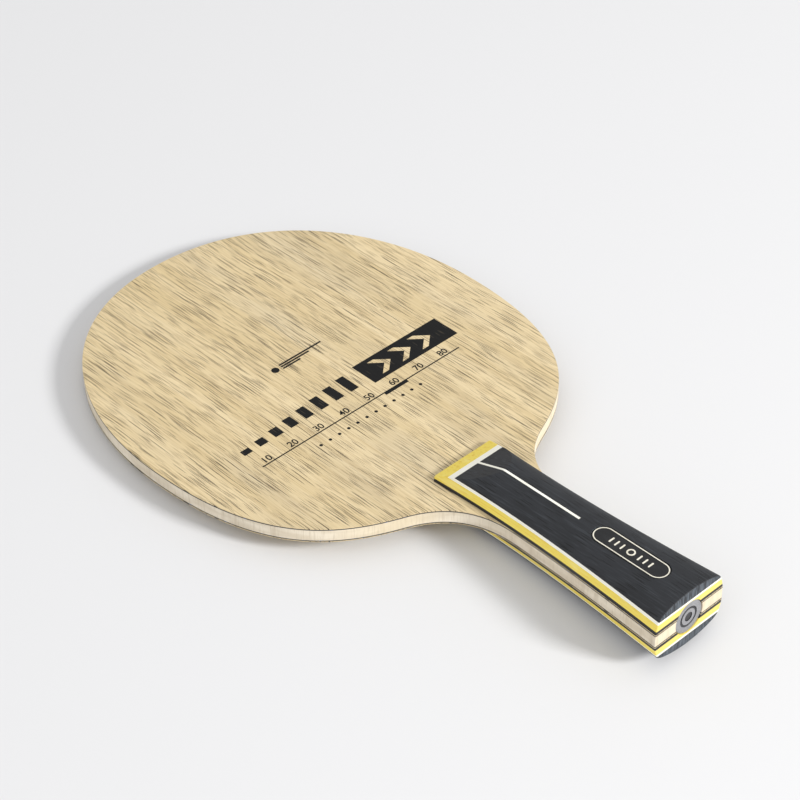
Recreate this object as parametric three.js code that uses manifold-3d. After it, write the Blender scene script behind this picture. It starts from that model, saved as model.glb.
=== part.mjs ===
// Table tennis blade with a flared, laminated handle.
// Millimetres. +X runs from the head's tip to the butt, +Z out of the front face, and the
// origin is the centre of the whole blade: half its length, on its centre line, at mid-thickness.
import * as THREE from "three";
import { mergeVertices } from "three/addons/utils/BufferGeometryUtils.js";
import Module from "manifold-3d";

const wasm = await Module();
wasm.setup();

// Lengths along the blade
const headLength = 158; // from the tip to the handle's front edge
const handleLength = 99;

// Head outline
const headWidth = 150;
const widestFromTip = 86.7;
const tipRoundness = 0.636; // pull of the curve at the tip, as a share of the half width
const sideRoundness = 0.543; // pull of the curve at the widest place, as a share of its distance
const sideRun = 52.6; // how far the widest line carries on towards the shoulder
const shoulderPastFront = 6; // the shoulder turns hollow this far behind the handle's front edge
const shoulderHalfWidth = 31.9;
const shoulderAngle = THREE.MathUtils.degToRad(68);
const shoulderPull = 24.6;
const neckPull = 16;
const neckLength = 36; // the hollow neck meets the handle's side this far behind its front edge
const neckRun = 12.6;

// Plies of the blade, from the middle out
const corePly = 3.0;
const innerPly = 0.6;
const fibrePly = 0.2;
const facePly = 0.5;

// Layers of each half of the handle, from the blade out
const blackLayer = 1.15;
const yellowLayer = 2.4;
const whiteLayer = 0.9;
const bodyRise = 4.0; // height of the crowned body on the centre line

// Handle outline and section
const handleFrontWidth = 27;
const handleButtWidth = 31.5;
const sideSlopeFront = -0.067; // how fast each side widens behind the front edge
const sideSlopeButt = 0.08; // how fast each side still widens at the butt
const blackLean = 0.25; // how far the side leans in over the black layer
const yellowLeanFront = 1.25;
const yellowLeanButt = 0.6;
const whiteLean = 0.45;
const crownSquareness = 1.8; // exponent of the crown's rounded section; 2 is an ellipse
const frontWall = 1.85; // upright front edge, above the blade
const frontSlope = THREE.MathUtils.degToRad(19);

// Inlaid stripe, badge and butt disc
const stripeWidth = 0.9;
const stripeDepth = 1.2;
const stripeToBadge = 6.6; // from the stripe's end to the badge's front end
const badgeLength = 30.4;
const badgeWidth = 8;
const badgeThickness = 0.8;
const badgeSunk = 0.25; // below the top of the crown
const badgeFromButt = 24.65; // to the badge's middle
const discDiameter = 12.2;
const discThickness = 2.0;
const discSunk = 0.3;

// Gaps
const glueLine = 0.02;
const inlayGap = 0.05;
const pocketGap = 0.2;

// Fineness
const curveSteps = 18;
const flareSteps = 20;
const crownSteps = 10;
const discSegments = 48;
const spare = 5; // how far a cutting shape reaches past what it cuts

const overallLength = headLength + handleLength;
const tipX = -overallLength / 2;
const buttX = overallLength / 2;
const frontX = tipX + headLength;
const coreTop = corePly / 2;
const innerTop = coreTop + innerPly;
const fibreTop = innerTop + fibrePly;
const bladeHalf = fibreTop + facePly;
const blackTop = bladeHalf + blackLayer;
const yellowTop = blackTop + yellowLayer;
const whiteTop = yellowTop + whiteLayer;
const crownTop = whiteTop + bodyRise;
const stripeReach = handleLength - badgeFromButt - badgeLength / 2 - stripeToBadge;

// Turns a closed geometry into a solid that can be joined and cut.
function solidOf(geometry) {
  const bare = geometry.clone();
  bare.deleteAttribute("normal");
  bare.deleteAttribute("uv");
  const merged = mergeVertices(bare, 1e-4);
  return new wasm.Manifold(
    new wasm.Mesh({
      numProp: 3,
      vertProperties: new Float32Array(merged.attributes.position.array),
      triVerts: new Uint32Array(merged.index.array),
    }),
  );
}

function geometryOf(solid) {
  const { vertProperties, triVerts } = solid.getMesh();
  const geometry = new THREE.BufferGeometry();
  geometry.setAttribute("position", new THREE.BufferAttribute(vertProperties, 3));
  geometry.setIndex(new THREE.BufferAttribute(triVerts, 1));
  geometry.computeVertexNormals();
  return geometry;
}

// A flat shape in X and Y, given thickness from z = low to z = high.
function plateSolid(shape, low, high) {
  const plate = new THREE.ExtrudeGeometry(shape, {
    depth: high - low,
    bevelEnabled: false,
    curveSegments: curveSteps,
  });
  return solidOf(plate.translate(0, 0, low));
}

// A side view in X and Z, given width from y = -halfWidth to y = halfWidth.
function sideCutSolid(points, halfWidth) {
  const shape = new THREE.Shape(points.map(([x, z]) => new THREE.Vector2(x, z)));
  const cut = new THREE.ExtrudeGeometry(shape, { depth: 2 * halfWidth, bevelEnabled: false });
  return solidOf(cut.rotateX(Math.PI / 2).translate(0, halfWidth, 0));
}

// Half the handle's width where it meets the blade, at a distance behind its front edge.
function handleHalfWidth(behindFront) {
  const t = behindFront / handleLength;
  const widening = (handleButtWidth - handleFrontWidth) / 2;
  return (
    handleFrontWidth / 2 +
    widening * (3 * t ** 2 - 2 * t ** 3) +
    sideSlopeFront * handleLength * (t - 2 * t ** 2 + t ** 3) +
    sideSlopeButt * handleLength * (t ** 3 - t ** 2)
  );
}

// The stations along the handle, as distances behind its front edge.
function flareStations() {
  return Array.from({ length: flareSteps + 1 }, (_, i) => (i * handleLength) / flareSteps);
}

// One side of the blade's outline, from the tip round the head and down the neck to the butt.
function outlineSide() {
  const halfWidth = headWidth / 2;
  const widestX = tipX + widestFromTip;
  const shoulder = new THREE.Vector2(frontX + shoulderPastFront, shoulderHalfWidth);
  const downhill = new THREE.Vector2(Math.cos(shoulderAngle), -Math.sin(shoulderAngle));
  const neckEnd = new THREE.Vector2(frontX + neckLength, handleHalfWidth(neckLength));
  const curves = [
    new THREE.CubicBezierCurve(
      new THREE.Vector2(tipX, 0),
      new THREE.Vector2(tipX, tipRoundness * halfWidth),
      new THREE.Vector2(widestX - sideRoundness * widestFromTip, halfWidth),
      new THREE.Vector2(widestX, halfWidth),
    ),
    new THREE.CubicBezierCurve(
      new THREE.Vector2(widestX, halfWidth),
      new THREE.Vector2(widestX + sideRun, halfWidth),
      shoulder.clone().addScaledVector(downhill, -shoulderPull),
      shoulder,
    ),
    new THREE.CubicBezierCurve(
      shoulder,
      shoulder.clone().addScaledVector(downhill, neckPull),
      new THREE.Vector2(neckEnd.x - neckRun, neckEnd.y),
      neckEnd,
    ),
  ];
  const points = curves.flatMap((curve) => curve.getPoints(curveSteps).slice(0, -1));
  points.push(neckEnd);
  for (const station of flareStations()) {
    if (station > neckLength) {
      points.push(new THREE.Vector2(frontX + station, handleHalfWidth(station)));
    }
  }
  return points;
}

function bladeOutline() {
  const side = outlineSide();
  const otherSide = side
    .slice(1)
    .reverse()
    .map((p) => new THREE.Vector2(p.x, -p.y));
  return new THREE.Shape([...side, ...otherSide]);
}

// One section of a handle half, as [y, z] points from the near bottom edge over the crown.
function handleSection(behindFront) {
  const along = behindFront / handleLength;
  const base = handleHalfWidth(behindFront);
  const yellowEdge = base - blackLean;
  const whiteEdge = yellowEdge - THREE.MathUtils.lerp(yellowLeanFront, yellowLeanButt, along);
  const bodyEdge = whiteEdge - whiteLean;
  const side = [
    [base, bladeHalf],
    [yellowEdge, blackTop],
    [whiteEdge, yellowTop],
  ];
  const crown = [];
  for (let i = 0; i <= 2 * crownSteps; i++) {
    const angle = (Math.PI * i) / (2 * crownSteps);
    const across = Math.cos(angle);
    const up = Math.sin(angle);
    crown.push([
      bodyEdge * Math.sign(across) * Math.abs(across) ** (2 / crownSquareness),
      whiteTop + bodyRise * up ** (2 / crownSquareness),
    ]);
  }
  const farSide = side.map(([y, z]) => [-y, z]).reverse();
  return [...side, ...crown, ...farSide];
}

// A handle half before its front is sloped: the sections joined from front to butt.
function handleBlock() {
  const stations = flareStations();
  const sections = stations.map(handleSection);
  const count = sections[0].length;
  const positions = [];
  const index = [];
  sections.forEach((section, row) => {
    for (const [y, z] of section) {
      positions.push(frontX + stations[row], y, z);
    }
  });
  for (let row = 0; row + 1 < sections.length; row++) {
    for (let i = 0; i < count; i++) {
      const next = (i + 1) % count;
      const [a, b] = [row * count + i, row * count + next];
      const [c, d] = [a + count, b + count];
      index.push(a, b, c, b, d, c);
    }
  }
  // Each end is a fan around the middle of the edge that lies on the blade.
  for (const [row, outward] of [
    [0, -1],
    [sections.length - 1, 1],
  ]) {
    const hub = positions.length / 3;
    positions.push(frontX + stations[row], 0, bladeHalf);
    for (let i = 0; i < count; i++) {
      const [a, b] = [row * count + i, row * count + ((i + 1) % count)];
      index.push(...(outward > 0 ? [hub, a, b] : [hub, b, a]));
    }
  }
  const block = new THREE.BufferGeometry();
  block.setAttribute("position", new THREE.Float32BufferAttribute(positions, 3));
  block.setIndex(index);
  return solidOf(block);
}

// The slope's height at a distance behind the handle's front edge.
function slopeHeight(behindFront) {
  return bladeHalf + frontWall + behindFront * Math.tan(frontSlope);
}

function slopeReaches(height) {
  return (height - bladeHalf - frontWall) / Math.tan(frontSlope);
}

// What is left of the handle's side view once its front is sloped.
function slopedSideView() {
  const past = slopeReaches(crownTop + spare);
  return sideCutSolid(
    [
      [frontX, 0],
      [buttX + spare, 0],
      [buttX + spare, crownTop + spare],
      [frontX + past, crownTop + spare],
      [frontX, slopeHeight(0)],
    ],
    handleButtWidth,
  );
}

// The slot for the stripe: it dips below the slope and the crown by the stripe's depth.
function stripeSlot(gap) {
  const low = stripeDepth + gap;
  const bend = slopeReaches(crownTop);
  const slopeLow = low / Math.cos(frontSlope);
  const crownLow = crownTop - low;
  const bendLow = slopeReaches(crownLow) + slopeLow / Math.tan(frontSlope);
  const end = stripeReach + gap;
  return sideCutSolid(
    [
      [frontX, slopeHeight(0) - slopeLow],
      [frontX + bendLow, crownLow],
      [frontX + end, crownLow],
      [frontX + end, crownTop + spare],
      [frontX + Math.min(bend, end), crownTop + spare],
      [frontX, slopeHeight(0) + spare],
    ],
    stripeWidth / 2 + gap,
  );
}

// A bar with round ends, for the badge and its pocket.
function roundEndedBar(length, width) {
  const radius = width / 2;
  const reach = length / 2 - radius;
  const middle = buttX - badgeFromButt;
  const bar = new THREE.Shape();
  bar.absarc(middle + reach, 0, radius, -Math.PI / 2, Math.PI / 2);
  bar.absarc(middle - reach, 0, radius, Math.PI / 2, (3 * Math.PI) / 2);
  return bar;
}

// A short round bar along X that ends at the given distance from the butt's face.
function buttRound(radius, fromButt, length) {
  const round = new THREE.CylinderGeometry(radius, radius, length, discSegments);
  return solidOf(round.rotateZ(Math.PI / 2).translate(buttX - fromButt - length / 2, 0, 0));
}

const discPocket = buttRound(
  discDiameter / 2 + pocketGap,
  -spare,
  spare + discSunk + discThickness + glueLine,
);

const looks = {
  wood: { color: 0xd7c399, roughness: 0.7, metalness: 0 },
  core: { color: 0xebe1c8, roughness: 0.75, metalness: 0 },
  fibre: { color: 0x3c3f45, roughness: 0.6, metalness: 0 },
  black: { color: 0x17181a, roughness: 0.55, metalness: 0 },
  yellow: { color: 0xeed66f, roughness: 0.55, metalness: 0 },
  white: { color: 0xf8f6e2, roughness: 0.55, metalness: 0 },
  charcoal: { color: 0x303437, roughness: 0.6, metalness: 0 },
  badge: { color: 0x141517, roughness: 0.3, metalness: 0 },
  disc: { color: 0x9b9b9f, roughness: 0.45, metalness: 0.6 },
};

function piece(name, solid, look) {
  const mesh = new THREE.Mesh(geometryOf(solid), new THREE.MeshStandardMaterial(looks[look]));
  mesh.name = name;
  return mesh;
}

function bladePly(name, low, high, look) {
  return piece(name, plateSolid(outline, low, high).subtract(discPocket), look);
}

function layerOf(block, low, high) {
  const slab = new THREE.BoxGeometry(handleLength + 2 * spare, 2 * handleButtWidth, high - low);
  slab.translate(frontX + handleLength / 2, 0, (low + high) / 2);
  return block.intersect(solidOf(slab));
}

// One half of the handle, as it stands on the front face. Only the front half has the badge.
function handleHalf(side) {
  const half = new THREE.Group();
  const block = handleBlock().intersect(slopedSideView());
  const layers = [
    ["black_layer", bladeHalf, blackTop, "black"],
    ["yellow_layer", blackTop, yellowTop, "yellow"],
    ["white_layer", yellowTop, whiteTop, "white"],
  ];
  for (const [name, low, high, look] of layers) {
    const layer = layerOf(block, low + glueLine, high);
    half.add(piece(`handle_${name}_${side}`, layer.subtract(discPocket), look));
  }
  const body = layerOf(block, whiteTop + glueLine, crownTop + spare).subtract(discPocket);
  let cutBody = body.subtract(stripeSlot(inlayGap));
  if (side === "front") {
    const badgeTop = crownTop - badgeSunk;
    const badgeFloor = badgeTop - badgeThickness;
    const pocket = roundEndedBar(badgeLength + 2 * pocketGap, badgeWidth + 2 * pocketGap);
    cutBody = cutBody.subtract(plateSolid(pocket, badgeFloor - glueLine, crownTop + spare));
    const plate = plateSolid(roundEndedBar(badgeLength, badgeWidth), badgeFloor, badgeTop);
    half.add(piece("badge_plate", plate, "badge"));
  }
  half.add(piece(`handle_body_${side}`, cutBody, "charcoal"));
  half.add(piece(`stripe_inlay_${side}`, body.intersect(stripeSlot(0)), "white"));
  return half;
}

const outline = bladeOutline();
const paddle = new THREE.Group();

paddle.add(bladePly("core_ply", -coreTop, coreTop, "core"));
for (const side of ["front", "back"]) {
  const half = new THREE.Group();
  half.add(bladePly(`inner_ply_${side}`, coreTop + glueLine, innerTop, "wood"));
  half.add(bladePly(`fibre_ply_${side}`, innerTop + glueLine, fibreTop, "fibre"));
  half.add(bladePly(`face_ply_${side}`, fibreTop + glueLine, bladeHalf, "wood"));
  half.add(handleHalf(side));
  half.scale.z = side === "front" ? 1 : -1;
  paddle.add(half);
}
paddle.add(piece("butt_disc", buttRound(discDiameter / 2, discSunk, discThickness), "disc"));

export default paddle;
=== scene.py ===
import math
import bmesh
import bpy
from mathutils import Matrix, Vector
from mathutils.geometry import interpolate_bezier


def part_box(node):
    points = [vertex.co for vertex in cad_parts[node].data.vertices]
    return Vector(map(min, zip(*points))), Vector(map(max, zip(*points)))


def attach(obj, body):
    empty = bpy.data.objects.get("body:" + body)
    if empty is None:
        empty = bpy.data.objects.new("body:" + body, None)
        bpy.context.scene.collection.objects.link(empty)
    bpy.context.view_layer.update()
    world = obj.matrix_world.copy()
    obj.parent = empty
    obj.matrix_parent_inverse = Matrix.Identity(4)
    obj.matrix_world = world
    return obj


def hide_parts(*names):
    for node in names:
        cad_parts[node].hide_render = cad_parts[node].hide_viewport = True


# Table tennis blade with a flared, laminated handle.
# +X runs from the head's tip to the butt, +Z out of the front face. Everything is in metres.
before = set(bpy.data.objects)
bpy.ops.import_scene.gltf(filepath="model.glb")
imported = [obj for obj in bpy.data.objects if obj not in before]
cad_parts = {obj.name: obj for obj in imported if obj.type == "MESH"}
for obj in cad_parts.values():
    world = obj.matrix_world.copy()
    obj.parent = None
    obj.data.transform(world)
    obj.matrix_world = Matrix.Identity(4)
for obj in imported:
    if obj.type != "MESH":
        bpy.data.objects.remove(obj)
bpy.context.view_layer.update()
print("frame loaded:", len(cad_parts), "nodes")

mm = 0.001
near = 0.01 * mm  # two places closer than this are the same place
merge = 1e-7  # and two vertices closer than this are the same vertex
past = 5 * mm  # how far a pocket's cutter stands out of the surface
plyLow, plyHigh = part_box("face_ply_front")
blackLow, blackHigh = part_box("handle_black_layer_front")
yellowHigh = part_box("handle_yellow_layer_front")[1]
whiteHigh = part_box("handle_white_layer_front")[1]
bodyLow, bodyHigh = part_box("handle_body_front")
tipX = plyLow.x
buttX = plyHigh.x
frontX = blackLow.x  # the handle's front edge
bladeHalf = plyHigh.z
crownTop = bodyHigh.z
handleLength = buttX - frontX


# Shapes that several pieces share


def lerp(first, last, share):
    return first + (last - first) * share


handle = {
    "frontWidth": 27 * mm,
    "buttWidth": 31.5 * mm,
    "sideSlopes": (-0.067, 0.08),  # how fast each side widens at the front and at the butt
    "frontWall": 1.85 * mm,  # upright front edge, above the blade
    "frontSlope": math.radians(19),
    "stations": 44,
    "buttCorner": 0.35 * mm,
}

# How far each side leans in, as (height, lean at the front, lean at the butt)
sideLevels = [
    (bladeHalf, 0.0, 0.0),
    (blackHigh.z, 0.25 * mm, 0.25 * mm),
    (yellowHigh.z, 1.5 * mm, 0.85 * mm),
    (whiteHigh.z, 1.95 * mm, 1.3 * mm),
]


def baseHalfWidth(behindFront):
    t = behindFront / handleLength
    widening = (handle["buttWidth"] - handle["frontWidth"]) / 2
    atFront, atButt = handle["sideSlopes"]
    bow = atFront * (t - 2 * t**2 + t**3) + atButt * (t**3 - t**2)
    return handle["frontWidth"] / 2 + widening * (3 * t**2 - 2 * t**3) + handleLength * bow


def halfWidthAt(height, behindFront):
    along = behindFront / handleLength
    leans = [(level, lerp(atFront, atButt, along)) for level, atFront, atButt in sideLevels]
    lean = leans[-1][1]
    for (low, lowLean), (high, highLean) in zip(leans, leans[1:]):
        if height <= high:
            lean = lerp(lowLean, highLean, max(0.0, height - low) / (high - low))
            break
    return baseHalfWidth(behindFront) - lean


def flareStations():
    return [i * handleLength / handle["stations"] for i in range(handle["stations"] + 1)]


def slopeHeight(behindFront):
    return bladeHalf + handle["frontWall"] + behindFront * math.tan(handle["frontSlope"])


def slopeReaches(height):
    return (height - bladeHalf - handle["frontWall"]) / math.tan(handle["frontSlope"])


# Mesh helpers


def outward(bm):
    bmesh.ops.recalc_face_normals(bm, faces=bm.faces)
    return bm


def vertsOf(grown):
    return [part for part in grown["geom"] if isinstance(part, bmesh.types.BMVert)]


def pushed(bm, faces, vec):
    # extrudes faces along vec, leaves none of them inside and returns the ones that moved
    joined = any(other not in faces for face in faces for edge in face.edges for other in edge.link_faces)
    grown = bmesh.ops.extrude_face_region(bm, geom=faces)
    bmesh.ops.translate(bm, vec=vec, verts=vertsOf(grown))
    if joined:
        bmesh.ops.delete(bm, geom=[face for face in faces if face.is_valid], context="FACES")
    return [part for part in grown["geom"] if isinstance(part, bmesh.types.BMFace)]


def outlined(points):
    # one flat face through a few points
    bm = bmesh.new()
    bm.faces.new([bm.verts.new(p) for p in points])
    return bm


def rounded(bm, edges, radius, segments=3):
    edges = list(edges)
    if edges:
        bmesh.ops.bevel(
            bm, geom=edges, offset=radius, offset_type="OFFSET", affect="EDGES",
            segments=segments, profile=0.5, clamp_overlap=True, material=-1,
        )


def edgesWhere(bm, test):
    return [edge for edge in bm.edges if all(test(v.co) for v in edge.verts)]


def meshFrom(bm, name):
    mesh = bpy.data.meshes.new(name)
    bm.to_mesh(mesh)
    bm.free()
    return mesh


def carved(piece, cutters):
    # cuts each cutter's shape out of the piece for good
    for cutter in cutters:
        tool = bpy.data.objects.new("cutter", meshFrom(cutter, "cutter"))
        bpy.context.scene.collection.objects.link(tool)
        cut = piece.modifiers.new("cut", "BOOLEAN")
        cut.operation = "DIFFERENCE"
        cut.solver = "EXACT"
        cut.object = tool
        evaluated = piece.evaluated_get(bpy.context.evaluated_depsgraph_get())
        whole = piece.data
        piece.data = bpy.data.meshes.new_from_object(evaluated)
        piece.modifiers.clear()
        bpy.data.meshes.remove(whole)
        bpy.data.objects.remove(tool)


def shaded(piece, sharpAngle=math.radians(32), flatArea=40 * mm**2):
    # wide faces stay flat, curved ones turn smooth between the sharp edges
    bm = bmesh.new()
    bm.from_mesh(piece.data)
    for face in bm.faces:
        face.smooth = face.calc_area() < flatArea
    for edge in bm.edges:
        edge.smooth = len(edge.link_faces) == 2 and edge.calc_face_angle() < sharpAngle
    bm.to_mesh(piece.data)
    bm.free()


def finished(name, bm, materials, replaces=(), side="front", cutters=()):
    # turns a bmesh into a piece of the one body; the back's pieces are the front's, mirrored
    if side == "back":
        bmesh.ops.scale(bm, vec=(1, 1, -1), verts=bm.verts)
        for cutter in cutters:
            bmesh.ops.scale(cutter, vec=(1, 1, -1), verts=cutter.verts)
            outward(cutter)
    piece = bpy.data.objects.new(name, meshFrom(outward(bm), name))
    bpy.context.scene.collection.objects.link(piece)
    for material in materials:
        piece.data.materials.append(material)
    carved(piece, cutters)
    shaded(piece)
    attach(piece, "root")
    if replaces:
        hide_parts(*replaces)


def barredCircle(length, width, segments=64):
    # a bar with round ends: a circle whose halves are drawn apart
    bm = bmesh.new()
    halfStep = Matrix.Rotation(math.pi / segments, 4, "Z")
    bmesh.ops.create_circle(bm, cap_ends=True, segments=segments, radius=width / 2, matrix=halfStep)
    reach = (length - width) / 2
    for vert in bm.verts:
        vert.co.x += math.copysign(reach, vert.co.x)
    return bm


# Shader maths


def tone(red, green, blue):
    # a colour as a screen shows it, turned linear
    levels = [level / 255 for level in (red, green, blue)]
    return (*(c / 12.92 if c <= 0.04045 else ((c + 0.055) / 1.055) ** 2.4 for c in levels), 1.0)


class Value:
    # a socket that takes part in sums: each operator adds its Math node
    def __init__(self, finish, socket):
        self.finish = finish
        self.socket = socket

    def math(self, operation, first, second):
        return self.finish.node("ShaderNodeMath", {"operation": operation}, {0: first, 1: second})

    def __add__(self, other):
        return self.math("ADD", self, other)

    def __sub__(self, other):
        return self.math("SUBTRACT", self, other)

    def __rsub__(self, other):
        return self.math("SUBTRACT", other, self)

    def __mul__(self, other):
        return self.math("MULTIPLY", self, other)

    __radd__ = __add__
    __rmul__ = __mul__

    def beside(self, output):
        # another output of the same node
        return Value(self.finish, self.socket.node.outputs[output])


class Finish:
    # one material and the few node recipes that its pattern is written in
    def __init__(self, name, **plain):
        self.material = bpy.data.materials.new(name)
        self.material.use_nodes = True
        self.nodes = self.material.node_tree.nodes
        self.links = self.material.node_tree.links
        self.surface = self.nodes["Principled BSDF"]
        for socket, value in plain.items():
            self.surface.inputs[socket].default_value = value
        self.place = self.node("ShaderNodeTexCoord", output="Object")

    def node(self, kind, settings=None, inputs=None, output=0):
        made = self.nodes.new(kind)
        for key, value in (settings or {}).items():
            setattr(made, key, value)
        for key, value in (inputs or {}).items():
            self.feed(made.inputs[key], value)
        return Value(self, made.outputs[output])

    def feed(self, socket, value):
        if isinstance(value, Value):
            self.links.new(value.socket, socket)
        else:
            socket.default_value = value

    def stretched(self, size, place=None):
        scale = [1 / length for length in size]
        return self.node("ShaderNodeMapping", {}, {"Vector": place or self.place, "Scale": scale})

    def noise(self, size, detail=2.0, rough=0.5, place=None):
        inputs = {"Vector": self.stretched(size, place), "Scale": 1.0, "Detail": detail, "Roughness": rough}
        return self.node("ShaderNodeTexNoise", {}, inputs)

    def step(self, value, low, high):
        # 0 below low, 1 above high, smooth between
        inputs = {"Value": value, "From Min": low, "From Max": high}
        return self.node("ShaderNodeMapRange", {"interpolation_type": "SMOOTHSTEP"}, inputs)

    def mix(self, factor, first, second):
        settings = {"data_type": "RGBA", "clamp_factor": True}
        return self.node("ShaderNodeMix", settings, {0: factor, 6: first, 7: second}, output=2)

    def swayed(self, amount, size):
        # Object coordinates whose Y wanders a little along the grain
        x = self.node("ShaderNodeSeparateXYZ", {}, {0: self.place})
        y = x.beside("Y") + (self.noise(size, detail=1) - 0.5) * amount
        return self.node("ShaderNodeCombineXYZ", {}, {0: x, 1: y, 2: x.beside("Z")})

    def sawnEnd(self):
        # 1 on faces that look towards the butt
        normal = self.node("ShaderNodeNewGeometry", output="Normal")
        return self.step(self.node("ShaderNodeSeparateXYZ", {}, {0: normal}), 0.7, 0.95)

    def pores(self, size, place, share, thick):
        # long thin cells seen from above, of which only a share is open
        cell = {"Vector": self.stretched(size, place), "Scale": 1.0, "Randomness": 1.0}
        flat = {"feature": "F1", "voronoi_dimensions": "2D"}
        distance = self.node("ShaderNodeTexVoronoi", flat, cell)
        chance = self.node("ShaderNodeSeparateColor", {}, {0: distance.beside("Color")})
        opened = self.step(chance, 1 - share, 1 - share * 0.6)
        return (1 - self.step(distance, thick * 0.65, thick)) * opened

    def done(self, colour, rough=None, height=None, depth=0.1 * mm, strength=1.0):
        self.feed(self.surface.inputs["Base Color"], colour)
        if rough is not None:
            self.feed(self.surface.inputs["Roughness"], rough)
        if height is not None:
            inputs = {"Height": height, "Distance": depth, "Strength": strength}
            self.feed(self.surface.inputs["Normal"], self.node("ShaderNodeBump", {}, inputs))
        return self.material


# Finishes

faceWood = {
    "pale": tone(232, 212, 170),
    "warm": tone(218, 196, 150),
    "cool": tone(200, 187, 159),
    "streak": tone(184, 161, 121),
    "pore": tone(50, 43, 36),
    "fade": tone(122, 106, 82),
    "sway": 2.2 * mm,
    "swaySize": (46 * mm, 90 * mm, 90 * mm),
    "bands": (190 * mm, 6 * mm, 6 * mm),
    "patches": (80 * mm, 16 * mm, 16 * mm),
    "streaks": (75 * mm, 0.5 * mm, 0.5 * mm),
    "fibres": (20 * mm, 0.3 * mm, 0.3 * mm),
    "crowd": (60 * mm, 4 * mm, 4 * mm),  # where pores stand closer together
    "longPores": (44 * mm, 0.85 * mm, 1 * mm),
    "middlePores": (23 * mm, 0.62 * mm, 1 * mm),
    "shortPores": (12 * mm, 0.42 * mm, 1 * mm),
    "glue": tone(46, 50, 56),
    "glueLine": 0.3 * mm,  # dark line under the veneer's edge
}


def faceVeneer():
    wood = Finish("sandedFaceVeneer", IOR=1.45)
    place = wood.swayed(faceWood["sway"], faceWood["swaySize"])
    bands = wood.noise(faceWood["bands"], detail=3, place=place)
    patches = wood.noise(faceWood["patches"], detail=2, place=place)
    streaks = wood.noise(faceWood["streaks"], detail=3, rough=0.6, place=place)
    fibres = wood.noise(faceWood["fibres"], detail=2, place=place)
    crowd = wood.noise(faceWood["crowd"], detail=2, place=place)
    crowded = wood.step(crowd, 0.36, 0.6)
    longPores = wood.pores(faceWood["longPores"], place, share=0.9, thick=0.17)
    middlePores = wood.pores(faceWood["middlePores"], place, share=0.8, thick=0.19)
    shortPores = wood.pores(faceWood["shortPores"], place, share=0.8, thick=0.25)
    pore = wood.node("ShaderNodeMath", {"operation": "MAXIMUM"}, {0: longPores, 1: middlePores * 0.9})
    pore = pore * (crowded * 0.25 + 0.75)
    faint = shortPores * (1 - crowded * 0.15)
    colour = wood.mix(wood.step(bands, 0.3, 0.7), faceWood["warm"], faceWood["pale"])
    colour = wood.mix(wood.step(patches, 0.45, 0.75) * 0.5, colour, faceWood["cool"])
    colour = wood.mix(wood.step(streaks, 0.48, 0.78) * 0.8, colour, faceWood["streak"])
    colour = wood.mix((fibres - 0.5) * 1.4 + 0.15, colour, faceWood["streak"])
    colour = wood.mix(faint * 0.6, colour, faceWood["fade"])
    colour = wood.mix(pore * 0.9, colour, faceWood["pore"])
    depth = wood.node("ShaderNodeSeparateXYZ", {}, {0: wood.place}).beside("Z")
    depth = wood.node("ShaderNodeMath", {"operation": "ABSOLUTE"}, {0: depth})
    glued = 1 - wood.step(depth, plyLow.z + faceWood["glueLine"] * 0.6, plyLow.z + faceWood["glueLine"])
    colour = wood.mix(glued * 0.85, colour, faceWood["glue"])
    rough = 0.66 + fibres * 0.16 + pore * 0.1
    height = fibres * 0.3 + streaks * 0.2 - pore - faint * 0.5
    return wood.done(colour, rough, height, depth=0.08 * mm, strength=0.6)


coreWood = {
    "pale": tone(231, 220, 200),
    "dark": tone(211, 198, 175),
    "ring": tone(184, 168, 142),
    "end": tone(212, 196, 164),
}


def coreVeneer():
    wood = Finish("sawnCoreWood", IOR=1.45)
    rings = wood.noise((5 * mm, 2.2 * mm, 30 * mm), detail=3)
    saw = wood.noise((0.55 * mm, 0.55 * mm, 6 * mm), detail=3, rough=0.6)
    mottle = wood.noise((14 * mm, 14 * mm, 3 * mm), detail=2)
    colour = wood.mix(wood.step(mottle, 0.3, 0.7), coreWood["pale"], coreWood["dark"])
    colour = wood.mix(wood.step(rings, 0.52, 0.72) * 0.4, colour, coreWood["ring"])
    colour = wood.mix(wood.sawnEnd() * 0.6, colour, coreWood["end"])
    colour = wood.mix(wood.step(saw, 0.48, 0.75) * 0.45, colour, coreWood["ring"])
    return wood.done(colour, 0.7 + saw * 0.15, saw * 0.6 + rings * 0.2, depth=0.07 * mm, strength=0.5)


fibreCloth = {
    "dark": tone(34, 38, 44),
    "grey": tone(74, 77, 80),
    "blue": tone(34, 84, 150),
}


def fibrePly():
    cloth = Finish("wovenFibrePly", IOR=1.5)
    tows = cloth.noise((1.6 * mm, 1.6 * mm, 0.4 * mm), detail=1)
    runs = cloth.noise((9 * mm, 9 * mm, 1 * mm), detail=1)
    grey = cloth.step(tows, 0.45, 0.62)
    blue = cloth.step(tows, 0.56, 0.64) * cloth.step(runs, 0.5, 0.62)
    colour = cloth.mix(grey, fibreCloth["dark"], fibreCloth["grey"])
    colour = cloth.mix(blue, colour, fibreCloth["blue"])
    return cloth.done(colour, 0.5 + tows * 0.2, tows, depth=0.05 * mm, strength=0.5)


dyedWoods = {
    "blackVeneer": {
        "main": tone(34, 35, 37), "dark": tone(20, 21, 22), "light": tone(62, 63, 65),
        "end": tone(38, 38, 40), "grain": 0.5,
    },
    "yellowVeneer": {
        "main": tone(243, 220, 100), "dark": tone(224, 182, 54), "light": tone(248, 232, 142),
        "end": tone(214, 194, 108), "grain": 0.9,
    },
    "whiteVeneer": {
        "main": tone(249, 247, 234), "dark": tone(232, 226, 206), "light": tone(253, 252, 246),
        "end": tone(226, 222, 208), "grain": 0.5,
    },
}


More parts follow.
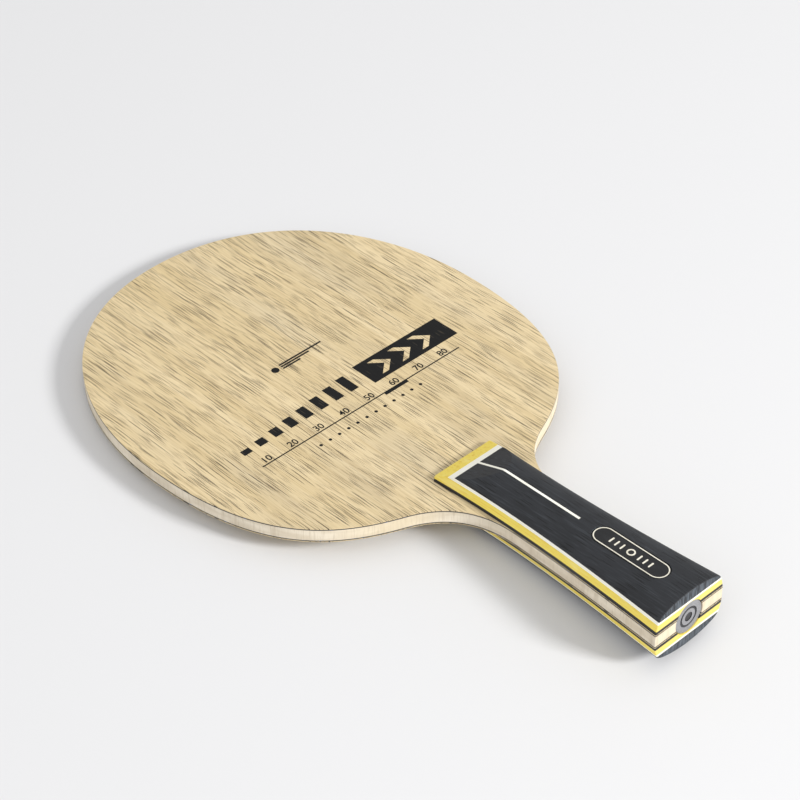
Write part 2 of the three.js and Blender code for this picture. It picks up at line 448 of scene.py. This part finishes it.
def dyedVeneer(name):
    look = dyedWoods[name]
    wood = Finish(name, IOR=1.46)
    grain = wood.noise((22 * mm, 0.8 * mm, 0.45 * mm), detail=4, rough=0.6)
    fibres = wood.noise((4 * mm, 0.22 * mm, 0.22 * mm), detail=2)
    blotch = wood.noise((12 * mm, 5 * mm, 2 * mm), detail=2)
    colour = wood.mix(wood.step(grain, 0.5, 0.74) * look["grain"], look["main"], look["dark"])
    colour = wood.mix(wood.step(blotch, 0.52, 0.72) * 0.6, colour, look["light"])
    colour = wood.mix(wood.sawnEnd() * 0.75, colour, look["end"])
    colour = wood.mix(wood.step(fibres, 0.55, 0.8) * look["grain"] * 0.6, colour, look["dark"])
    return wood.done(colour, 0.5 + fibres * 0.18, grain * 0.5 + fibres * 0.5, depth=0.05 * mm, strength=0.5)


charcoalWood = {
    "main": tone(36, 38, 42),
    "dark": tone(18, 20, 23),
    "light": tone(78, 83, 89),
    "pore": tone(10, 11, 12),
    "endGrain": tone(96, 104, 112),
}


def charcoalVeneer():
    wood = Finish("charcoalHandleWood", IOR=1.47)
    place = wood.swayed(1.0 * mm, (50 * mm, 12 * mm, 12 * mm))
    grain = wood.noise((22 * mm, 0.6 * mm, 0.8 * mm), detail=4, rough=0.65, place=place)
    fibres = wood.noise((6 * mm, 0.25 * mm, 0.5 * mm), detail=3, place=place)
    cloudy = wood.noise((18 * mm, 6 * mm, 6 * mm), detail=2)
    pore = wood.pores((13 * mm, 0.6 * mm, 1 * mm), place, share=0.7, thick=0.24)
    end = wood.sawnEnd()
    saw = wood.noise((4 * mm, 0.35 * mm, 6 * mm), detail=3, rough=0.6)
    colour = wood.mix(wood.step(cloudy, 0.3, 0.75) * 0.5, charcoalWood["main"], charcoalWood["dark"])
    colour = wood.mix(wood.step(grain, 0.52, 0.78) * 0.5, colour, charcoalWood["light"])
    colour = wood.mix(wood.step(fibres, 0.5, 0.8) * 0.35, colour, charcoalWood["light"])
    colour = wood.mix(pore * 0.8, colour, charcoalWood["pore"])
    endColour = wood.mix(wood.step(saw, 0.38, 0.66), charcoalWood["main"], charcoalWood["endGrain"])
    colour = wood.mix(end * 0.85, colour, endColour)
    rough = 0.5 + fibres * 0.16 + pore * 0.15 + end * 0.12
    height = grain * 0.4 + fibres * 0.35 - pore * 0.9
    return wood.done(colour, rough, height, depth=0.09 * mm, strength=0.6)


def badgePlastic():
    plastic = Finish("blackBadgePlastic", IOR=1.5)
    grainy = plastic.noise((0.5 * mm, 0.5 * mm, 0.5 * mm), detail=2)
    worn = plastic.noise((6 * mm, 2 * mm, 2 * mm), detail=3)
    colour = plastic.mix(plastic.step(worn, 0.45, 0.75) * 0.5, tone(20, 21, 23), tone(40, 41, 43))
    return plastic.done(colour, 0.3 + worn * 0.16, grainy, depth=0.03 * mm, strength=0.25)


def badgeLine():
    paint = Finish("creamBadgeLine", IOR=1.5)
    worn = paint.noise((2 * mm, 2 * mm, 2 * mm), detail=3)
    colour = paint.mix(paint.step(worn, 0.4, 0.75) * 0.7, tone(236, 231, 214), tone(206, 199, 180))
    return paint.done(colour, 0.35 + worn * 0.2, worn, depth=0.03 * mm, strength=0.3)


def discMetal():
    metal = Finish("satinDiscMetal", Metallic=0.35, IOR=1.5)
    grit = metal.noise((0.35 * mm, 0.35 * mm, 0.35 * mm), detail=3, rough=0.7)
    cloudy = metal.noise((3 * mm, 3 * mm, 3 * mm), detail=2)
    colour = metal.mix(metal.step(grit, 0.35, 0.7), tone(134, 134, 137), tone(164, 164, 166))
    colour = metal.mix(metal.step(cloudy, 0.4, 0.8) * 0.4, colour, tone(118, 118, 121))
    return metal.done(colour, 0.42 + grit * 0.2, grit, depth=0.04 * mm, strength=0.5)


def discMark():
    mark = Finish("darkDiscMark", IOR=1.5)
    grit = mark.noise((0.4 * mm, 0.4 * mm, 0.4 * mm), detail=2)
    colour = mark.mix(grit, tone(34, 34, 36), tone(62, 62, 64))
    return mark.done(colour, 0.45 + grit * 0.2, grit, depth=0.03 * mm)


def printInk():
    ink = Finish("blackPrintInk", **{"Specular IOR Level": 0.15})
    fibres = ink.noise((8 * mm, 0.3 * mm, 0.3 * mm), detail=3)
    thin = ink.pores((8.5 * mm, 0.72 * mm, 0.72 * mm), ink.place, share=0.3, thick=0.2)
    colour = ink.mix(ink.step(fibres, 0.45, 0.8) * 0.5, tone(24, 24, 24), tone(42, 41, 38))
    colour = ink.mix(thin * 0.5, colour, tone(84, 76, 62))
    return ink.done(colour, 0.45 + fibres * 0.2, fibres - thin * 0.5, depth=0.03 * mm, strength=0.5)


faceVeneerFinish = faceVeneer()
coreFinish = coreVeneer()
fibreFinish = fibrePly()
blackFinish = dyedVeneer("blackVeneer")
yellowFinish = dyedVeneer("yellowVeneer")
whiteFinish = dyedVeneer("whiteVeneer")
charcoalFinish = charcoalVeneer()
inkFinish = printInk()
print("finishes ready")


# The disc's round pocket, which the plies and the handle's inner layers share

disc = {
    "pocketGap": 0.2 * mm,
    "rim": 0.25 * mm,  # rounding of its front edge
    "ringRadius": 3.9 * mm,
    "ringWidth": 0.9 * mm,
    "ringDepth": 0.25 * mm,
    "dotRadius": 1.7 * mm,
    "segments": 96,
}
discLow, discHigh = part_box("butt_disc")


def buttRound(radius, low, high):
    bm = bmesh.new()
    across = Matrix.Translation(((low + high) / 2, 0, 0)) @ Matrix.Rotation(math.pi / 2, 4, "Y")
    bmesh.ops.create_cone(
        bm, cap_ends=True, segments=disc["segments"], radius1=radius, radius2=radius,
        depth=high - low, matrix=across,
    )
    return bm


def discPocket():
    return buttRound(discHigh.y + disc["pocketGap"], discLow.x, buttX + past)


# The blade: seven plies on one outline

blade = {
    "widestFromTip": 86.7 * mm,
    "tipPull": 0.636,  # of the half width
    "sidePull": 0.543,  # of the way from the tip to the widest place
    "sideRun": 52.6 * mm,
    "shoulderPastFront": 6 * mm,
    "shoulderHalfWidth": 31.9 * mm,
    "shoulderAngle": math.radians(68),
    "shoulderPull": 24.6 * mm,
    "neckPull": 16 * mm,
    "neckLength": 36 * mm,  # the neck meets the handle's side this far behind its front
    "neckRun": 12.6 * mm,
    "curveSteps": 56,
    "sandedEdge": 0.22 * mm,
    "unsandedNeck": 6 * mm,  # the sanding stops this far before the neck meets the handle
}


def bladeOutline():
    halfWidth = plyHigh.y
    widest = Vector((tipX + blade["widestFromTip"], halfWidth))
    shoulder = Vector((frontX + blade["shoulderPastFront"], blade["shoulderHalfWidth"]))
    downhill = Vector((math.cos(blade["shoulderAngle"]), -math.sin(blade["shoulderAngle"])))
    neckEnd = Vector((frontX + blade["neckLength"], baseHalfWidth(blade["neckLength"])))
    curves = [
        (
            Vector((tipX, 0)),
            Vector((tipX, blade["tipPull"] * halfWidth)),
            widest - Vector((blade["sidePull"] * blade["widestFromTip"], 0)),
            widest,
        ),
        (
            widest,
            widest + Vector((blade["sideRun"], 0)),
            shoulder - downhill * blade["shoulderPull"],
            shoulder,
        ),
        (
            shoulder,
            shoulder + downhill * blade["neckPull"],
            neckEnd - Vector((blade["neckRun"], 0)),
            neckEnd,
        ),
    ]
    side = []
    for curve in curves:
        side += interpolate_bezier(*curve, blade["curveSteps"])[:-1]
    side.append(neckEnd)
    for station in flareStations():
        if station > blade["neckLength"]:
            side.append(Vector((frontX + station, baseHalfWidth(station))))
    return side + [Vector((p.x, -p.y)) for p in reversed(side[1:])]


outline = bladeOutline()


def plyPiece(name, node, finish, side, sanded):
    low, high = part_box(node)
    bottom, top = sorted((abs(low.z), abs(high.z))) if side else (low.z, high.z)
    bm = outlined([(p.x, p.y, bottom) for p in outline])
    pushed(bm, bm.faces[:], (0, 0, top - bottom))
    corners = [
        edge for edge in bm.edges
        if all(v.co.x > buttX - near for v in edge.verts)
        and abs(edge.verts[0].co.z - edge.verts[1].co.z) > near
    ]
    rounded(bm, corners, handle["buttCorner"])
    if sanded:
        free = frontX + blade["neckLength"] - blade["unsandedNeck"]
        rounded(bm, edgesWhere(bm, lambda p: p.z > top - near and p.x < free), blade["sandedEdge"])
    finished(name, bm, [finish], [node], side, [discPocket()])


plyPiece("corePly", "core_ply", coreFinish, "", False)
for side in ("front", "back"):
    end = side.capitalize()
    plyPiece("innerPly" + end, "inner_ply_" + side, coreFinish, side, False)
    plyPiece("fibrePly" + end, "fibre_ply_" + side, fibreFinish, side, False)
    plyPiece("facePly" + end, "face_ply_" + side, faceVeneerFinish, side, True)
print("blade plies laid up")


# The handle: black, yellow and white layers under a crowned body, on each face


def flared(section):
    # a section at the handle's front edge, drawn back along the flare to the butt
    bm = outlined([(frontX, y, z) for y, z in section])
    end = bm.faces[:]
    stations = flareStations()
    for here, there in zip(stations, stations[1:]):
        end = pushed(bm, end, (there - here, 0, 0))
        for vert in end[0].verts:
            vert.co.y *= halfWidthAt(vert.co.z, there) / halfWidthAt(vert.co.z, here)
    return bm


def slopedFront(bm):
    # cuts the sloping front and closes the cut; returns the slope's face
    rise = Vector((-math.sin(handle["frontSlope"]), 0, math.cos(handle["frontSlope"])))
    cut = bmesh.ops.bisect_plane(
        bm, geom=bm.verts[:] + bm.edges[:] + bm.faces[:], dist=merge,
        plane_co=(frontX, 0, slopeHeight(0)), plane_no=rise, clear_outer=True,
    )
    edges = [part for part in cut["geom_cut"] if isinstance(part, bmesh.types.BMEdge)]
    return bmesh.ops.contextual_create(bm, geom=edges)["faces"][0]


leastClimb = 0.2 * mm  # an edge that rises less than this runs along its layer
layers = {
    "black": {"finish": blackFinish, "corner": 0.5 * mm},
    "yellow": {"finish": yellowFinish, "corner": 0.35 * mm},
    "white": {"finish": whiteFinish, "corner": 0.0},
}


def uprightEdges(bm, x):
    # the edges at a handle end that climb from one layer to the next
    found = edgesWhere(bm, lambda p: abs(p.x - x) < near)
    return [edge for edge in found if abs(edge.verts[0].co.z - edge.verts[1].co.z) > leastClimb]


def layerPiece(colour, side):
    look = layers[colour]
    node = "handle_%s_layer_%s" % (colour, side)
    low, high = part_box(node)
    bottom, top = sorted((abs(low.z), abs(high.z)))
    lowHalf, highHalf = halfWidthAt(bottom, 0), halfWidthAt(top, 0)
    bm = flared([(lowHalf, bottom), (highHalf, top), (-highHalf, top), (-lowHalf, bottom)])
    if top > slopeHeight(0):
        slopedFront(bm)
    rounded(bm, uprightEdges(bm, buttX), handle["buttCorner"])
    if look["corner"]:
        rounded(bm, uprightEdges(bm, frontX), look["corner"])
    name = colour + "Layer" + side.capitalize()
    finished(name, bm, [look["finish"]], [node], side, [discPocket()])


for side in ("front", "back"):
    for colour in layers:
        layerPiece(colour, side)
print("handle layers glued on")

body = {
    "squareness": 1.8,  # exponent of the crown's section; 2 is an ellipse
    "crownSteps": 44,
    "crease": 1.1 * mm,  # rounding where the slope meets the crown
    "creaseFrom": 0.3 * mm,  # above the body's underside
    "buttEdge": 0.45 * mm,
}
stripe = {
    "width": 0.9 * mm,
    "depth": 1.2 * mm,
    "gap": 0.05 * mm,
    "bend": 1.0 * mm,
    "slotAbove": 3 * mm,  # how far the slot's cutter stands out of the body
}
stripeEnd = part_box("stripe_inlay_front")[1].x


def stripeBar(gap, above):
    # the stripe's side view, given its width: it follows the slope and then the crown
    low = stripe["depth"] + gap
    slopeLow = low / math.cos(handle["frontSlope"])
    crownLow = crownTop - low
    bend = frontX + slopeReaches(crownTop)
    foot = slopeReaches(bodyLow.z - above + slopeLow)
    halfWidth = stripe["width"] / 2 + gap
    sideView = [
        (frontX + foot, bodyLow.z - above),
        (frontX + slopeReaches(crownLow + slopeLow), crownLow),
        (stripeEnd + gap, crownLow),
        (stripeEnd + gap, crownTop + above),
        (bend, crownTop + above),
        (frontX + min(foot, slopeReaches(bodyLow.z)), bodyLow.z + above),
    ]
    bm = outlined([(x, -halfWidth, z) for x, z in sideView])
    pushed(bm, bm.faces[:], (0, 2 * halfWidth, 0))
    if not above:
        across = edgesWhere(bm, lambda p: abs(p.x - bend) < near and abs(p.z - crownTop) < near)
        rounded(bm, across, stripe["bend"], segments=6)
    return outward(bm)


badge = {
    "pocketGap": 0.2 * mm,
    "lip": 0.3 * mm,  # black edge outside the light line
    "line": 0.4 * mm,
    "lineRise": 0.1 * mm,
    "ringRadius": 1.5 * mm,
    "ringWidth": 0.5 * mm,
    "tick": (2.6 * mm, 0.55 * mm),
    "ticks": (3.6 * mm, 5.9 * mm, 8.2 * mm),  # from the middle
}
badgeLow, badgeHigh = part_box("badge_plate")
badgeMiddle = (badgeLow.x + badgeHigh.x) / 2


def badgePocket():
    length = badgeHigh.x - badgeLow.x + 2 * badge["pocketGap"]
    width = badgeHigh.y - badgeLow.y + 2 * badge["pocketGap"]
    bm = barredCircle(length, width)
    bmesh.ops.translate(bm, vec=(badgeMiddle, 0, badgeLow.z), verts=bm.verts)
    pushed(bm, bm.faces[:], (0, 0, past))
    return outward(bm)


def bodyPiece(side):
    steps = body["crownSteps"]
    half = halfWidthAt(bodyLow.z, 0)
    rise = crownTop - bodyLow.z
    section = []
    for i in range(steps + 1):
        across, up = math.cos(math.pi * i / steps), math.sin(math.pi * i / steps)
        y = math.copysign(abs(across) ** (2 / body["squareness"]), across)
        section.append((half * y, bodyLow.z + rise * up ** (2 / body["squareness"])))
    bm = flared(section)
    slope = slopedFront(bm)
    creaseLow = bodyLow.z + body["creaseFrom"]
    crease = [edge for edge in slope.edges if min(v.co.z for v in edge.verts) > creaseLow]
    rounded(bm, crease, body["crease"], segments=5)
    rim = [
        edge for edge in edgesWhere(bm, lambda p: p.x > buttX - near)
        if max(v.co.z for v in edge.verts) > bodyLow.z + near
    ]
    rounded(bm, rim, body["buttEdge"], segments=4)
    cutters = [stripeBar(stripe["gap"], stripe["slotAbove"])]
    if side == "front":
        cutters.append(badgePocket())
    finished("handleBody" + side.capitalize(), bm, [charcoalFinish],
             ["handle_body_" + side], side, cutters)


for side in ("front", "back"):
    bodyPiece(side)
    finished("stripeInlay" + side.capitalize(), stripeBar(0, 0), [whiteFinish],
             ["stripe_inlay_" + side], side)
print("handle bodies shaped")


# The badge: a black plate with a light line round it and a plain ring between short ticks


def badgePiece():
    length, width = badgeHigh.x - badgeLow.x, badgeHigh.y - badgeLow.y
    bm = barredCircle(length, width)
    bmesh.ops.translate(bm, vec=(badgeMiddle, 0, badgeLow.z), verts=bm.verts)
    top = pushed(bm, bm.faces[:], (0, 0, badgeHigh.z - badgeLow.z - badge["lineRise"]))[0]
    bmesh.ops.inset_region(bm, faces=[top], thickness=badge["lip"], use_even_offset=True)
    line = bmesh.ops.inset_region(bm, faces=[top], thickness=badge["line"], use_even_offset=True)["faces"]
    for face in line:
        face.material_index = 1
    pushed(bm, line, (0, 0, badge["lineRise"]))
    floor = top.calc_center_median().z
    addRing(bm, badge["ringRadius"], badge["ringWidth"], (badgeMiddle, 0, floor), badge["lineRise"])
    for reach in badge["ticks"]:
        for way in (-1, 1):
            tick = barredCircle(*badge["tick"], segments=16)
            bmesh.ops.rotate(tick, matrix=Matrix.Rotation(math.pi / 2, 3, "Z"), verts=tick.verts)
            bmesh.ops.translate(tick, vec=(badgeMiddle + way * reach, 0, floor), verts=tick.verts)
            pushed(tick, tick.faces[:], (0, 0, badge["lineRise"]))
            addTo(bm, tick, 1)
    finished("badgePlate", bm, [badgePlastic(), badgeLine()], ["badge_plate"])


def addTo(bm, extra, materialIndex):
    for face in extra.faces:
        face.material_index = materialIndex
    mesh = meshFrom(outward(extra), "extra")
    bm.from_mesh(mesh)
    bpy.data.meshes.remove(mesh)


def addRing(bm, radius, width, place, rise):
    # a flat raised ring: a circle, inset, whose middle is taken out before it is pushed up
    ring = bmesh.new()
    bmesh.ops.create_circle(ring, cap_ends=True, segments=48, radius=radius)
    middle = ring.faces[:][0]
    bmesh.ops.inset_region(ring, faces=[middle], thickness=width, use_even_offset=True, use_boundary=True)
    bmesh.ops.delete(ring, geom=[middle], context="FACES")
    pushed(ring, ring.faces[:], (0, 0, rise))
    bmesh.ops.translate(ring, vec=place, verts=ring.verts)
    addTo(bm, ring, 1)


badgePiece()


# The butt disc: satin metal with an engraved ring and dot


def discPiece():
    bm = buttRound(discHigh.y, discLow.x, discHigh.x)
    face = max(bm.faces, key=lambda f: f.calc_center_median().x)
    rounded(bm, list(face.edges), disc["rim"])
    face = max(bm.faces, key=lambda f: f.calc_center_median().x)
    inner = face.edges[0].verts[0].co.yz.length
    bmesh.ops.inset_region(bm, faces=[face], thickness=inner - disc["ringRadius"], use_even_offset=True)
    groove = bmesh.ops.inset_region(bm, faces=[face], thickness=disc["ringWidth"], use_even_offset=True)
    sunkTo(bm, groove["faces"], disc["ringDepth"])
    rest = disc["ringRadius"] - disc["ringWidth"] - disc["dotRadius"]
    bmesh.ops.inset_region(bm, faces=[face], thickness=rest, use_even_offset=True)
    sunkTo(bm, [face], disc["ringDepth"])
    finished("buttDisc", bm, [discMetal(), discMark()], ["butt_disc"])


def sunkTo(bm, faces, depth):
    for face in faces:
        face.material_index = 1
    pushed(bm, faces, (-depth, 0, 0))


discPiece()
print("badge and disc let in")


# Prints on the front face: plain geometric marks in one ink, read from -Y to +Y

ink = {"lift": 0.004 * mm, "film": 0.025 * mm}
block = {"x": (-33.3 * mm, -21.35 * mm), "y": (8.5 * mm, 48.3 * mm)}
chevron = {
    "count": 3, "first": 17.6 * mm, "pitch": 9.6 * mm,
    "reach": 4.6 * mm, "half": 4.1 * mm, "thick": 3.0 * mm,
}
bars = {
    "count": 8, "y": (-48.9 * mm, 2.9 * mm), "width": 3.6 * mm,
    "foot": -23.6 * mm, "rise": (2.6 * mm, 8.5 * mm),
}
scale = {
    "x": -15.2 * mm, "y": (-48.4 * mm, 42.8 * mm), "line": 0.5 * mm,
    "numbers": 8, "first": -44.8 * mm, "pitch": 11.65 * mm, "countBy": 10,
    "height": 3.9 * mm, "bold": 0.06 * mm, "foot": -16.1 * mm,
    "mark": (6.7 * mm, 17.3 * mm), "markWidth": 1.1 * mm, "markGap": 0.02 * mm,
}
dots = {"count": 12, "first": -27.2 * mm, "pitch": 4.2 * mm, "radius": 0.62 * mm, "x": -9.85 * mm}
ball = {
    "x": -50.9 * mm, "y": -11.3 * mm, "radius": 1.45 * mm,
    "lines": (19.5 * mm, 13 * mm, 8 * mm), "from": -8.7 * mm, "linePitch": 1.15 * mm, "halfLine": 0.37 * mm,
}


def rectangle(lowX, highX, lowY, highY):
    return [(lowX, lowY), (highX, lowY), (highX, highY), (lowX, highY)]


def circleLoop(x, y, radius, segments=32):
    turns = [2 * math.pi * i / segments for i in range(segments)]
    return [(x + radius * math.cos(turn), y + radius * math.sin(turn)) for turn in turns]


def stamped(name, loops):
    # fills closed loops with ink; a loop inside another is left open
    bm = bmesh.new()
    for loop in loops:
        corners = [bm.verts.new((x, y, bladeHalf + ink["lift"])) for x, y in loop]
        for first, second in zip(corners, corners[1:] + corners[:1]):
            bm.edges.new((first, second))
    bmesh.ops.triangle_fill(bm, edges=bm.edges[:], use_beauty=True, use_dissolve=False, normal=(0, 0, 1))
    pushed(bm, bm.faces[:], (0, 0, ink["film"]))
    finished(name, bm, [inkFinish])


def chevronLoop(y):
    reach, half, thick = chevron["reach"], chevron["half"], chevron["thick"]
    middle = sum(block["x"]) / 2
    return [
        (middle, y + reach / 2 + thick / 2),
        (middle - half, y - reach / 2 + thick / 2),
        (middle - half, y - reach / 2 - thick / 2),
        (middle, y + reach / 2 - thick / 2),
        (middle + half, y - reach / 2 - thick / 2),
        (middle + half, y - reach / 2 + thick / 2),
    ]


def numberPiece(number, y):
    text = bpy.data.curves.new("scaleNumber", "FONT")
    text.body = str(number)
    text.size = scale["height"]
    text.offset = scale["bold"]
    text.align_x = "CENTER"
    text.extrude = ink["film"] / 2
    writer = bpy.data.objects.new("scaleNumber", text)
    bpy.context.scene.collection.objects.link(writer)
    mesh = bpy.data.meshes.new_from_object(writer.evaluated_get(bpy.context.evaluated_depsgraph_get()))
    bpy.data.objects.remove(writer)
    place = Matrix.Translation((scale["foot"], y, bladeHalf + ink["lift"] + ink["film"] / 2))
    mesh.transform(place @ Matrix.Rotation(math.pi / 2, 4, "Z"))
    bm = bmesh.new()
    bm.from_mesh(mesh)
    bpy.data.meshes.remove(mesh)
    bmesh.ops.remove_doubles(bm, verts=bm.verts, dist=merge)
    return bm


def printPieces():
    chevrons = [chevronLoop(chevron["first"] + i * chevron["pitch"]) for i in range(chevron["count"])]
    stamped("printBlock", [rectangle(*block["x"], *block["y"]), *chevrons])
    pitch = (bars["y"][1] - bars["y"][0] - bars["width"]) / (bars["count"] - 1)
    steps = []
    for i in range(bars["count"]):
        start = bars["y"][0] + i * pitch
        top = bars["foot"] - lerp(*bars["rise"], i / (bars["count"] - 1))
        steps.append(rectangle(top, bars["foot"], start, start + bars["width"]))
    stamped("printBars", steps)
    line = rectangle(scale["x"] - scale["line"] / 2, scale["x"] + scale["line"] / 2, *scale["y"])
    markFrom = scale["x"] + scale["line"] / 2 + scale["markGap"]
    mark = rectangle(markFrom, markFrom + scale["markWidth"], *scale["mark"])
    stamped("printRule", [line, mark])
    numbers = bmesh.new()
    for i in range(scale["numbers"]):
        addTo(numbers, numberPiece(scale["countBy"] * (i + 1), scale["first"] + i * scale["pitch"]), 0)
    finished("printNumbers", numbers, [inkFinish])
    places = [dots["first"] + i * dots["pitch"] for i in range(dots["count"])]
    stamped("printDots", [circleLoop(dots["x"], y, dots["radius"]) for y in places])
    speed = [circleLoop(ball["x"], ball["y"], ball["radius"])]
    for i, length in enumerate(ball["lines"]):
        x = ball["x"] + (i - 1) * ball["linePitch"]
        half = ball["halfLine"]
        speed.append(rectangle(x - half, x + half, ball["from"], ball["from"] + length))
    stamped("printBall", speed)


printPieces()
print("face printed")


# Camera, floor and light

view = {
    "aim": (-11.12 * mm, 10.35 * mm, 0.0),
    "distance": 834.5 * mm,
    "azimuth": math.radians(47.03),
    "elevation": math.radians(39.02),
    "roll": math.radians(-1.24),
    "lens": 109.56,
    "sensor": 36,
    "farClip": 200,
}


def aimed(azimuth, elevation, distance, aim=(0, 0, 0), roll=0.0):
    # the place and turn of a thing that looks at aim from that side
    turn = Matrix.Rotation(azimuth, 4, "Z") @ Matrix.Rotation(math.pi / 2 - elevation, 4, "X")
    back = Matrix.Translation((0, 0, distance))
    return Matrix.Translation(aim) @ turn @ back @ Matrix.Rotation(roll, 4, "Z")


def cameraSetUp():
    lens = bpy.data.cameras.new("camera")
    lens.lens = view["lens"]
    lens.sensor_width = view["sensor"]
    lens.clip_end = view["farClip"]
    camera = bpy.data.objects.new("camera", lens)
    camera.matrix_world = aimed(
        view["azimuth"], view["elevation"], view["distance"], view["aim"], view["roll"],
    )
    bpy.context.scene.collection.objects.link(camera)
    bpy.context.scene.camera = camera


studio = {
    "floorSize": 60.0,
    "floorGrey": 0.74,
    "skyLevel": 0.61,
    "floorShine": 0.1,
    "key": {
        "azimuth": math.radians(110), "elevation": math.radians(26), "distance": 2.3,
        "power": 49.0, "size": 0.46,
    },
    "fill": {
        "azimuth": math.radians(25), "elevation": math.radians(42),
        "power": 0.7, "angle": math.radians(60),
    },
}


def floorSetUp():
    # the blade rests on its tip and on the place where the back half's slope meets its crown
    restX = frontX + slopeReaches(crownTop)
    fall = (crownTop - bladeHalf) / (restX - tipX)
    bm = bmesh.new()
    bmesh.ops.create_grid(bm, x_segments=4, y_segments=4, size=studio["floorSize"])
    floor = bpy.data.objects.new("floor", meshFrom(bm, "floor"))
    bpy.context.scene.collection.objects.link(floor)
    floor.matrix_world = Matrix.Translation((restX, 0, -crownTop)) @ Matrix.Rotation(math.atan(fall), 4, "Y")
    pale = Finish("paleFloor", **{"Roughness": 0.9, "Specular IOR Level": studio["floorShine"]})
    grey = studio["floorGrey"]
    speck = pale.noise((0.4, 0.4, 0.4), detail=2)
    shade = pale.mix(speck, (grey * 0.985, grey * 0.985, grey * 0.99, 1), (grey, grey, grey * 1.006, 1))
    floor.data.materials.append(pale.done(shade))


def lightSetUp():
    world = bpy.data.worlds.new("studio")
    world.use_nodes = True
    background = world.node_tree.nodes["Background"]
    level = studio["skyLevel"]
    background.inputs["Color"].default_value = (level, level, level * 1.008, 1)
    bpy.context.scene.world = world
    look = studio["key"]
    key = bpy.data.lights.new("key", "AREA")
    key.energy = look["power"]
    key.size = look["size"]
    keyLamp = bpy.data.objects.new("key", key)
    keyLamp.matrix_world = aimed(look["azimuth"], look["elevation"], look["distance"])
    bpy.context.scene.collection.objects.link(keyLamp)
    look = studio["fill"]
    fill = bpy.data.lights.new("fill", "SUN")
    fill.energy = look["power"]
    fill.angle = look["angle"]
    fillLamp = bpy.data.objects.new("fill", fill)
    fillLamp.matrix_world = aimed(look["azimuth"], look["elevation"], 2.0)
    bpy.context.scene.collection.objects.link(fillLamp)


cameraSetUp()
floorSetUp()
lightSetUp()
bpy.context.scene.view_settings.view_transform = "Standard"
print("camera, floor and lights set")
